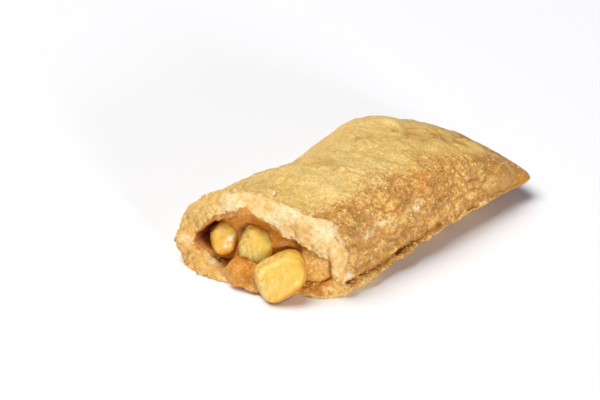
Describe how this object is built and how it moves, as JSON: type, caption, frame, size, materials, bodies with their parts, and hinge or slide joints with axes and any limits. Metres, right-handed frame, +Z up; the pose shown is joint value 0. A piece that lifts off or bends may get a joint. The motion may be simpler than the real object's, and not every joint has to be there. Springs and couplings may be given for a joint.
{
  "type": "fried apple pie",
  "caption": "Plump oblong fried hand pie with a blistered golden crust, torn open across an end to show apple chunks in a caramel gel filling, sealed at the other end.",
  "frame": {"origin": "on the flat underside, below the middle of the pie", "axes": "+X along the pie from the torn end to the sealed end, +Y to the far long side, away from the seam lip, +Z up"},
  "size_m": [0.1087, 0.0537, 0.0267],
  "materials": {
    "crust": "fried wheat pastry, blistered, golden tan, slightly greasy",
    "filling": "glossy caramel-coloured cinnamon apple gel",
    "apple": "cooked apple, wet, translucent yellow"
  },
  "bodies": {
    "root": {"crust": "crust", "filling": "filling", "apple_left": "apple", "apple_middle": "apple", "apple_front": "apple"}
  },
  "joints": []
}
